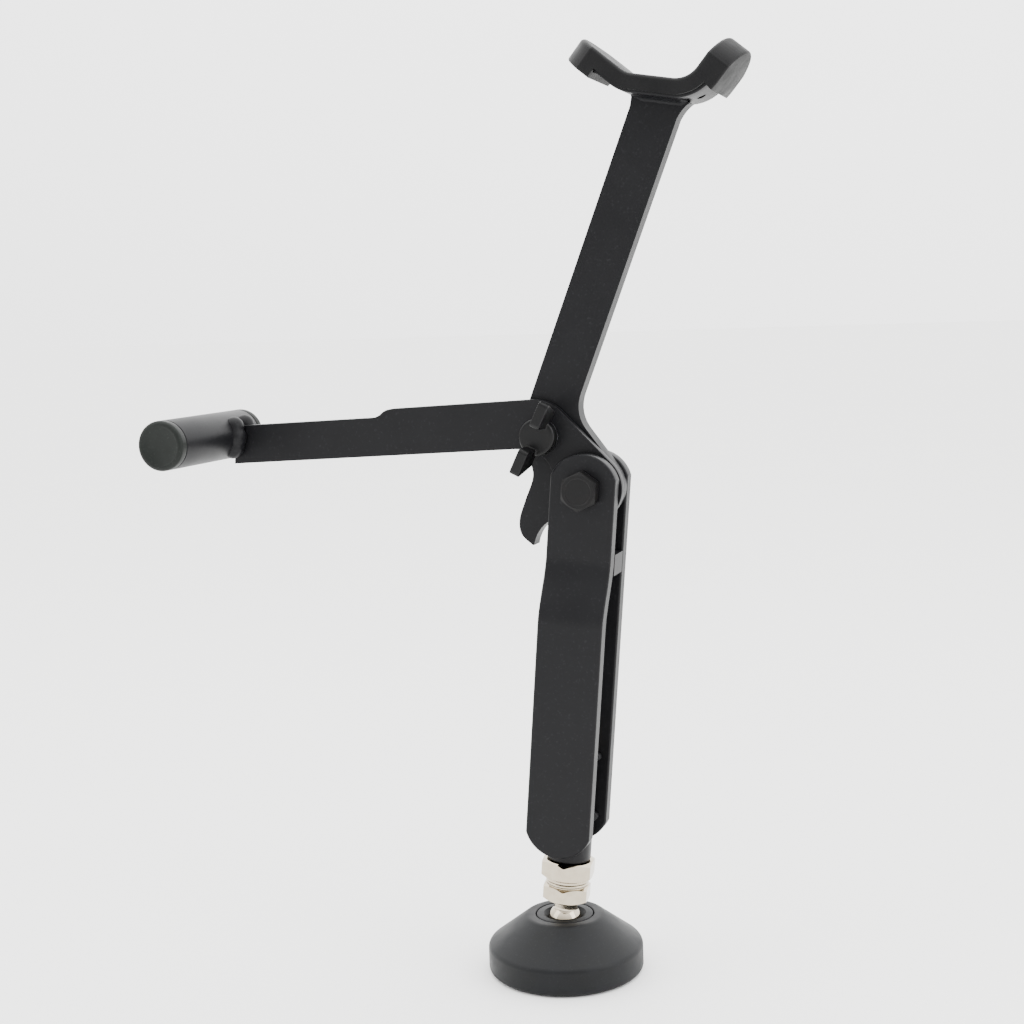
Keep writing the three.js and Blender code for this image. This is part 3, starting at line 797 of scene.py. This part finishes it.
def leverOutline():
    r = lever["endRadius"]
    lowerLeft = math.radians(168)
    start = (r * math.cos(lowerLeft), r * math.sin(lowerLeft))
    outline = [(-146.5, -3.9), (-29.2, 12.1)]
    outline += curvePoints((-29.2, 12.1), (-15.5, 13.9), start)
    outline += arcPoints((0, 0), r, 168, 409.6, 60)[1:]
    outline += [(-11.2, 27.2)]
    outline += curvePoints((-11.2, 27.2), (-16.6, 32.2), (-24, 31.2))
    outline += [(-79.5, 23.4)]
    outline += curvePoints((-79.5, 23.4), (-82.5, 22.9), (-84, 21.2), 6)
    outline += curvePoints((-84, 21.2), (-85.5, 19.5), (-88.5, 19.1), 6)
    outline += [(-146.9, 11.2)]
    return outline


def makeLever():
    piece = outlineBlock("footLever", leverOutline(), *lever["y"], pivotFrame)
    cutWith(piece, [drill(leg["boltHole"], (0, 0), pivotFrame), drill(lever["screwHole"], arm["knob"], pivotFrame),
                    drill(lever["tubeRadius"] + 0.25, lever["tube"], pivotFrame)])
    softenEdges(piece, lever["edge"], 40)
    finishPiece(piece, powderCoat, "arm", "powder_coat", "lever_plate")
    # beads on both faces close the lever's end to the tube
    tubeX, tubeZ = lever["tube"]
    for side, y, seed in (("Front", lever["y"][0] - 3.0, 2.0), ("Rear", lever["y"][1] + 2.6, 7.0)):
        path = [(tubeX + 7.2, y, tubeZ + 4.6), (tubeX + 8.2, y, tubeZ), (tubeX + 7.4, y, tubeZ - 4.6)]
        bead = weldBead(f"tubeWeld{side}", path, {"radius": 3.8, "ripple": 1.0, "seed": seed, "wander": 0.5}, pivotFrame)
        finishPiece(bead, powderCoat, "arm", "powder_coat")


def makeTube():
    x, z = lever["tube"]
    place = pivotFrame @ Matrix.Translation((x * mm, 0, z * mm)) @ toY
    low, high = lever["tubeY"]
    piece = roundRing("pedalTube", lever["tubeRadius"], lever["tubeBore"], -high, -low, 0.35, place, 128)
    finishPiece(piece, powderCoat, "arm", "powder_coat", "pedal_tube")
    r = lever["tubeRadius"]
    head = lever["capHead"]
    # the head's face is a shallow dish inside a rounded rim
    profile = [(0, -8), (7.3, -8), (7.6, -7.6), (7.7, -0.2), (8.6, -0.2), (8.8, 0), *arcPoints((r - 0.3, 0.3), 0.3, -90, 0, 3),
               *arcPoints((r - 1.5, head - 1.5), 1.5, 0, 78, 8), (r - 1.75, head - 0.02), (r - 2.1, head - 0.12),
               (r - 2.35, head - 0.22), (0, head - 0.22)]
    front = turned("tubePlugFront", profile, place @ Matrix.Translation((0, 0, (-low + 0.3) * mm)), 128, 45)
    finishPiece(front, capPlastic, "arm", "cap_plastic", "tube_cap_front")
    away = place @ Matrix.Translation((0, 0, (-high - 0.3) * mm)) @ Matrix.Rotation(math.pi, 4, "X")
    rear = turned("tubePlugRear", profile, away, 128, 45)
    finishPiece(rear, capPlastic, "arm", "cap_plastic", "tube_cap_rear")


makeArm()
makeLever()
makeTube()
print("arm and lever made")

# ---- wing knob ----
knob = {"hubRadius": 6.9, "backY": -3.95, "hubFrontY": -9.1, "wingThick": 3.9, "turn": math.radians(20.7),
        "screw": 2.7, "washerOuter": 6.5}


def makeKnob():
    x, z = arm["knob"]
    spin = Matrix.Rotation(knob["turn"], 4, "Y")
    place = pivotFrame @ Matrix.Translation((x * mm, 0, z * mm)) @ spin
    hub = turned("wingKnob", [
        (3.0, -knob["hubFrontY"] - 0.8), (3.0, -knob["backY"]), (5.9, -knob["backY"]),
        *arcPoints((knob["hubRadius"] - 0.7, -knob["backY"] + 0.7), 0.7, -90, 0, 4),
        *arcPoints((knob["hubRadius"] - 0.8, -knob["hubFrontY"] - 0.8), 0.8, 0, 90, 6),
        (0, -knob["hubFrontY"]), (0, -knob["hubFrontY"] - 0.8),
    ], place @ toY, 72)
    half = knob["wingThick"] / 2
    # a wing's side: radius against height off the lever
    side = [(4.4, 6.0), (11.3, 5.6), (12.2, 8.6), (14.6, 16.8), (14.3, 17.5), (13.6, 17.9), (5.6, 17.9), (4.7, 17.4),
            (4.4, 16.4)]
    wings = []
    for turn in (0, math.pi):
        standUp = Matrix(((0, 1, 0, 0), (0, 0, -1, 0), (1, 0, 0, 0), (0, 0, 0, 1)))
        blade = outlineBlock("wing", [(r, h) for r, h in side], -half, half,
                             place @ Matrix.Rotation(turn, 4, "Y"))
        blade.data.transform((place @ Matrix.Rotation(turn, 4, "Y")).inverted())
        for vert in blade.data.vertices:
            r, y, h = vert.co
            vert.co = (y, -h, r)
        blade.data.transform(place @ Matrix.Rotation(turn, 4, "Y"))
        wings.append(blade)
    cutWith(hub, wings, "UNION")
    fuse = hub.modifiers.new("fuse", "REMESH")
    fuse.mode = "VOXEL"
    fuse.voxel_size = 0.2 * mm
    fuse.use_smooth_shade = True
    settle = hub.modifiers.new("settle", "SMOOTH")
    settle.iterations = 7
    applyModifiers(hub)
    finishPiece(hub, knobNylon, "knob", "knob_plastic", "wing_knob")
    axis = pivotFrame @ Matrix.Translation((x * mm, 0, z * mm)) @ toY
    screw = threadedRod("wingScrew", {"z": (-8.2, 7.9), "pitch": 1.0, "crest": 2.85, "root": 2.35}, axis)
    finishPiece(screw, zinc, "knob", "zinc", "wing_screw")
    ring = roundRing("knobWasher", knob["washerOuter"], 3.0, 2.68, 3.62, 0.2, axis, 72)
    finishPiece(ring, zinc, "knob_slide", "zinc", "knob_washer")


makeKnob()
print("knob made")

# ---- saddle: made flat along the strip, then bent ----
saddle = {"bendRadius": 16, "stripThick": 2.5, "stripHalf": 12, "padHalf": 14, "tipRadius": 16, "skirt": 0.95,
          "under": -2.8, "stripShort": 3, "topEdge": 1.6, "lowEdge": 0.8, "hole": 1.7}
wings = {
    -1: {"bend": math.radians(29), "corner": 13.0, "length": 25.2, "pocket": 11.8},
    1: {"bend": math.radians(61), "corner": 15.3, "length": 23.8, "pocket": 6.5},
}


def lengthAlong(sign, distance):
    # distance out from a wing's corner, as length along the strip from the middle
    wing = wings[sign]
    shorter = 2 * math.tan(wing["bend"] / 2) - wing["bend"]
    return sign * (wing["corner"] + distance - saddle["bendRadius"] * shorter)


def bent(point):
    s, w, offset = point
    sign = 1 if s >= 0 else -1
    wing, radius = wings[sign], saddle["bendRadius"]
    start = wing["corner"] - radius * math.tan(wing["bend"] / 2)
    angle = min(wing["bend"], max(0, (abs(s) - start) / radius))
    extra = max(0, abs(s) - start - radius * wing["bend"])
    reach = min(abs(s), start) + radius * math.sin(angle) + extra * math.cos(angle)
    rise = radius * (1 - math.cos(angle)) + extra * math.sin(angle)
    return Vector((sign * (reach - offset * math.sin(angle)), w, rise + offset * math.cos(angle)))


def tipOutline(half, radius, short, inset=0.0, steps=22):
    # plan of a strip whose ends are flat arcs, drawn from its right end round to its left
    points = []
    sweep = math.asin((half - inset) / (radius - inset))
    for sign in (1, -1):
        tip = abs(lengthAlong(sign, wings[sign]["length"] - short))
        centre = tip - radius
        for i in range(steps + 1):
            angle = -sweep + 2 * sweep * i / steps
            points.append((sign * (centre + (radius - inset) * math.cos(angle)),
                           sign * (radius - inset) * math.sin(angle)))
    return points


def bendPiece(flat, name, spacing=0.9, sharpAngle=32):
    bm = bmesh.new()
    bm.from_mesh(flat.data)
    bpy.data.objects.remove(flat)
    bmesh.ops.scale(bm, vec=(1 / mm, 1 / mm, 1 / mm), verts=bm.verts)
    s = -40.0
    while s < 40:
        bmesh.ops.bisect_plane(bm, geom=bm.verts[:] + bm.edges[:] + bm.faces[:], plane_co=(s, 0, 0),
                               plane_no=(1, 0, 0), dist=1e-4)
        s += spacing
    for vert in bm.verts:
        vert.co = bent(vert.co)
    return newPiece(name, bm, saddleFrame, sharpAngle)


def roundedSlab(name, rows):
    # rows of (inset, height) from the bottom to the top over the pad's plan
    bm = bmesh.new()
    rings = []
    for inset, height in rows:
        plan = tipOutline(saddle["padHalf"], saddle["tipRadius"], 0, inset)
        rings.append([bm.verts.new((x, y, height)) for x, y in plan])
    bm.faces.new(rings[0])
    bm.faces.new(rings[-1])
    for low, high in zip(rings, rings[1:]):
        for i in range(len(low)):
            n = (i + 1) % len(low)
            bm.faces.new((low[i], low[n], high[n], high[i]))
    return newPiece(name, bm)


def makeSaddlePad():
    top, low = saddle["topEdge"], saddle["lowEdge"]
    rows = [(low * (1 - math.sin(a)), saddle["under"] + low * (1 - math.cos(a)))
            for a in (math.radians(d) for d in (0, 30, 60, 90))]
    rows += [(top * (1 - math.cos(a)), padTop - top * (1 - math.sin(a)))
             for a in (math.radians(d) for d in (0, 15, 30, 45, 60, 75, 90))]
    slab = roundedSlab("saddlePadFlat", rows)
    left = lengthAlong(-1, wings[-1]["pocket"])
    right = lengthAlong(1, wings[1]["pocket"])
    window = outlineBlock("window", [(left, -30), (right, -30), (right, 30), (left, 30)], -9, saddle["skirt"], axis="Z")
    seatPlan = tipOutline(saddle["stripHalf"] + 0.3, saddle["tipRadius"] - 2, saddle["stripShort"] - 0.3)
    seat = outlineBlock("seat", seatPlan, -0.3, saddle["stripThick"] + 0.3, axis="Z")
    cutWith(slab, [window, seat])
    piece = bendPiece(slab, "saddleRubberPad", 0.9, 38)
    finishPiece(piece, saddleRubber, "arm", "saddle_rubber", "saddle_pad")


def makeSaddleStrip():
    plan = tipOutline(saddle["stripHalf"], saddle["tipRadius"] - 2, saddle["stripShort"])
    flat = outlineBlock("stripFlat", plan, 0, saddle["stripThick"], axis="Z")
    softenEdges(flat, 0.5, 40)
    applyModifiers(flat)
    holes = []
    for s in (-15.2, 14.8):
        hole = [(s + x, y) for x, y in arcPoints((0, 0), saddle["hole"], 0, 350, 35)]
        holes.append(outlineBlock("hole", hole, -5, 5, axis="Z"))
    cutWith(flat, holes)
    piece = bendPiece(flat, "saddleStrip", 1.1, 30)
    finishPiece(piece, powderCoat, "arm", "powder_coat", "saddle_strip")
    # weld fillets along both faces of the arm, under the strip
    sx, sz = arm["saddle"]
    for side, y, seed in (("Front", arm["y"][0], 4.0), ("Rear", arm["y"][1], 9.0)):
        path = [(sx + u, y, sz - u * math.tan(arm["saddleTilt"]) - 0.2) for u in (-10.6, -4, 2, 7, 10.2)]
        size = {"leg": 2.7, "out": -1 if side == "Front" else 1, "seed": seed}
        bead = weldFillet(f"saddleWeld{side}", path, size, pivotFrame)
        finishPiece(bead, powderCoat, "arm", "powder_coat")


makeSaddlePad()
makeSaddleStrip()
print("saddle made")

# ---- floor and light ----
studio = {"floor": "#F4F4F3", "world": "#FFFFFF", "dim": 0.7, "bright": 4.4}


def softBox(name, at, size, power, aim=(0.02, 0, 0.17)):
    light = bpy.data.lights.new(name, "AREA")
    light.shape = "RECTANGLE"
    light.size, light.size_y = size
    light.energy = power
    lamp = bpy.data.objects.new(name, light)
    bpy.context.collection.objects.link(lamp)
    lamp.location = at
    lamp.rotation_euler = (Vector(aim) - Vector(at)).to_track_quat("-Z", "Y").to_euler()


def makeStudio():
    bm = bmesh.new()
    bmesh.ops.create_grid(bm, x_segments=8, y_segments=8, size=15000)
    floor = newPiece("studioFloor", bm)
    floor.location.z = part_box("foot_pad")[0][2]
    material, tree, shader = startMaterial("matteBoard", {"Roughness": 0.9})
    place = addNode(tree, "ShaderNodeTexCoord").outputs["Object"]
    cloud = addNode(tree, "ShaderNodeTexNoise", {"Scale": 4.0}, {"Vector": place}).outputs[0]
    shade = addNode(tree, "ShaderNodeMix", {"data_type": "RGBA", 6: linear(studio["floor"]),
                                            7: linear("#F1F1F0")}, {0: cloud})
    tree.links.new(shade.outputs[2], shader.inputs["Base Color"])
    floor.data.materials.append(material)
    world = bpy.data.worlds.new("studioWorld")
    world.use_nodes = True
    sky = world.node_tree
    sky.nodes["Background"].inputs[0].default_value = linear(studio["world"])
    # lit from above and behind, the room in front is dimmer
    around = addNode(sky, "ShaderNodeTexCoord").outputs["Generated"]
    toward = addNode(sky, "ShaderNodeVectorMath", {"operation": "DOT_PRODUCT", 1: (0, 0.53, 0.85)}, {0: around})
    fade = addNode(sky, "ShaderNodeMapRange", {1: -0.55, 2: 0.9, 3: studio["dim"], 4: studio["bright"]},
                   {0: toward.outputs["Value"]})
    sky.links.new(fade.outputs[0], sky.nodes["Background"].inputs[1])
    bpy.context.scene.world = world
    softBox("softBoxLeft", (-0.9, -0.5, 0.7), (0.7, 1.0), 5)
    softBox("softBoxRight", (1.0, -0.1, 0.6), (0.6, 1.0), 7)
    softBox("softBoxTop", (0.0, -0.1, 1.3), (1.0, 1.0), 5)


makeStudio()
print("studio set")
